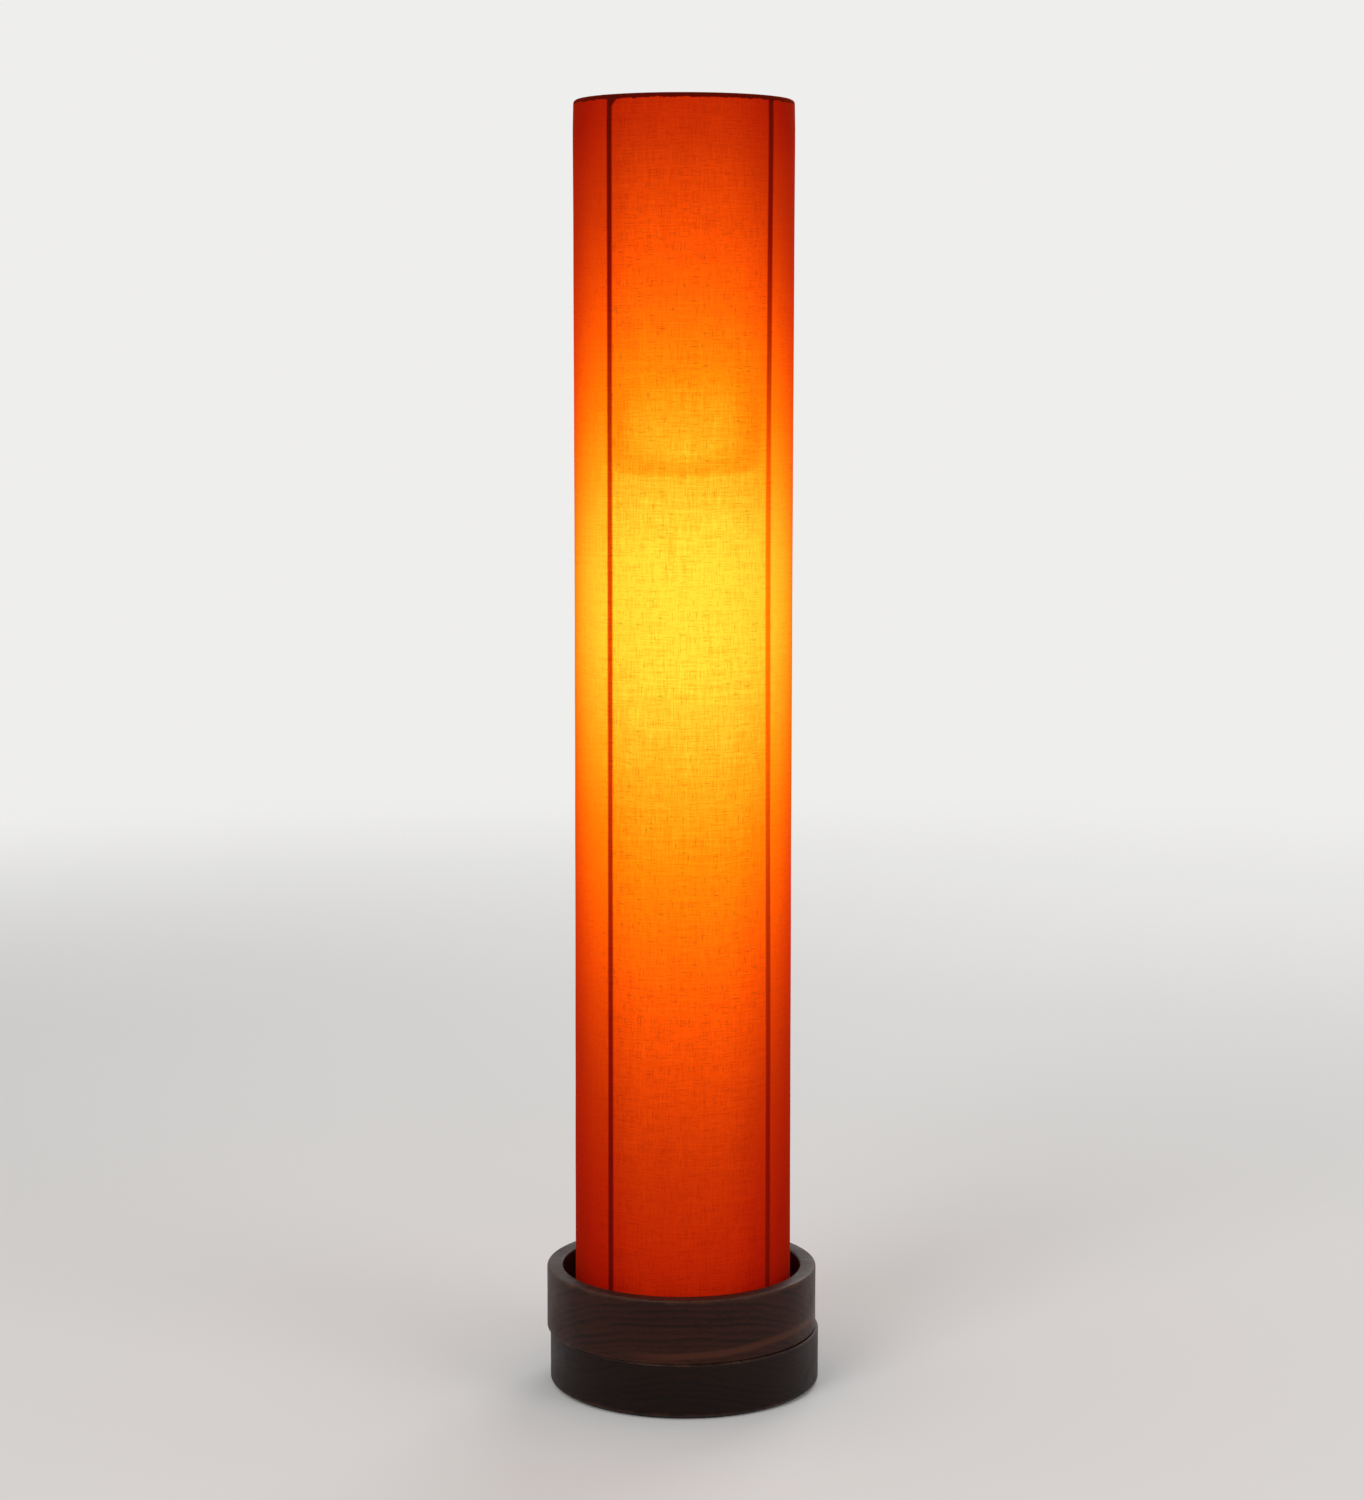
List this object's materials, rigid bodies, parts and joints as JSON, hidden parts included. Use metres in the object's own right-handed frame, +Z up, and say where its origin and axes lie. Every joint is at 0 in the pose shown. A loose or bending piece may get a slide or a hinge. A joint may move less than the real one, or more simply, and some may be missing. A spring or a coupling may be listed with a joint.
{
  "type": "column floor lamp",
  "caption": "Tall round column floor lamp: an orange cotton tube over a wire frame, standing in a dark turned wooden cup, with a bulb hanging inside.",
  "frame": {"origin": "on the floor, at the middle of the base", "axes": "+Z up along the fabric tube, -Y towards the front, +X to the right seen from the front"},
  "size_m": [0.1968, 0.1948, 0.915],
  "materials": {
    "brown_wood": "dark stained, oiled",
    "dark_wood": "nearly black stain, oiled",
    "felt": "pressed felt",
    "rubber": "matt",
    "zinc": "zinc plated",
    "ivory_plastic": "moulded",
    "brass": "drawn",
    "frame_wire": "grey lacquered wire",
    "carrier_metal": "stamped sheet",
    "orange_cotton": "plain woven slub cotton, lit from inside",
    "holder_plastic": "moulded, off-white",
    "holder_ceramic": "unglazed",
    "lead_sheath": "smooth white sheath",
    "core_sheath": "smooth",
    "clear_plastic": "moulded",
    "nickel": "nickel plated",
    "black_glass": "glossy",
    "bulb_plastic": "satin white",
    "opal_plastic": "opal, lit",
    "board_white": "white solder mask"
  },
  "bodies": {
    "lamp": {"plinth": "dark_wood", "rim_ring": "brown_wood", "felt_pad": "felt", "cord_gland": "rubber", "hoop_clips": "zinc", "clip_screws": "zinc", "terminal_block": "ivory_plastic", "terminal_tubes": "brass", "terminal_screws": "zinc", "block_screw": "zinc", "bottom_hoop": "frame_wire", "top_hoop": "frame_wire", "upright_front_left": "frame_wire", "upright_front_right": "frame_wire", "upright_rear_right": "frame_wire", "upright_rear_left": "frame_wire", "carrier_plate": "carrier_metal", "carrier_arms": "frame_wire", "shade_cloth": "orange_cotton", "upper_clamp_ring": "holder_plastic", "lower_clamp_ring": "holder_plastic", "holder_skirt": "holder_plastic", "holder_cap": "holder_plastic", "holder_core": "holder_ceramic", "holder_shell": "brass", "holder_contact": "brass", "lead_bush": "holder_plastic", "inner_lead": "lead_sheath", "lead_cores": "core_sheath", "lead_clips": "clear_plastic"},
    "bulb_thread": {"bulb_cap": "nickel", "bulb_insulator": "black_glass", "bulb_contact": "nickel"},
    "bulb_body": {"bulb_housing": "bulb_plastic", "bulb_dome": "opal_plastic", "led_board": "board_white"}
  },
  "joints": [
    {"name": "bulb_travel", "type": "slide", "parent": "lamp", "child": "bulb_thread", "axis": [0, 0, -1], "range_m": [0, 0.0182]},
    {"name": "bulb_turn", "type": "hinge", "parent": "bulb_thread", "child": "bulb_body", "pos_m": [0, 0, 0.555], "axis": [0, 0, -1], "range_deg": [0, 1800]}
  ],
  "couplings": [
    {"joint": "bulb_travel", "follows": "bulb_turn", "m_per_rad": 0.00057773}
  ]
}
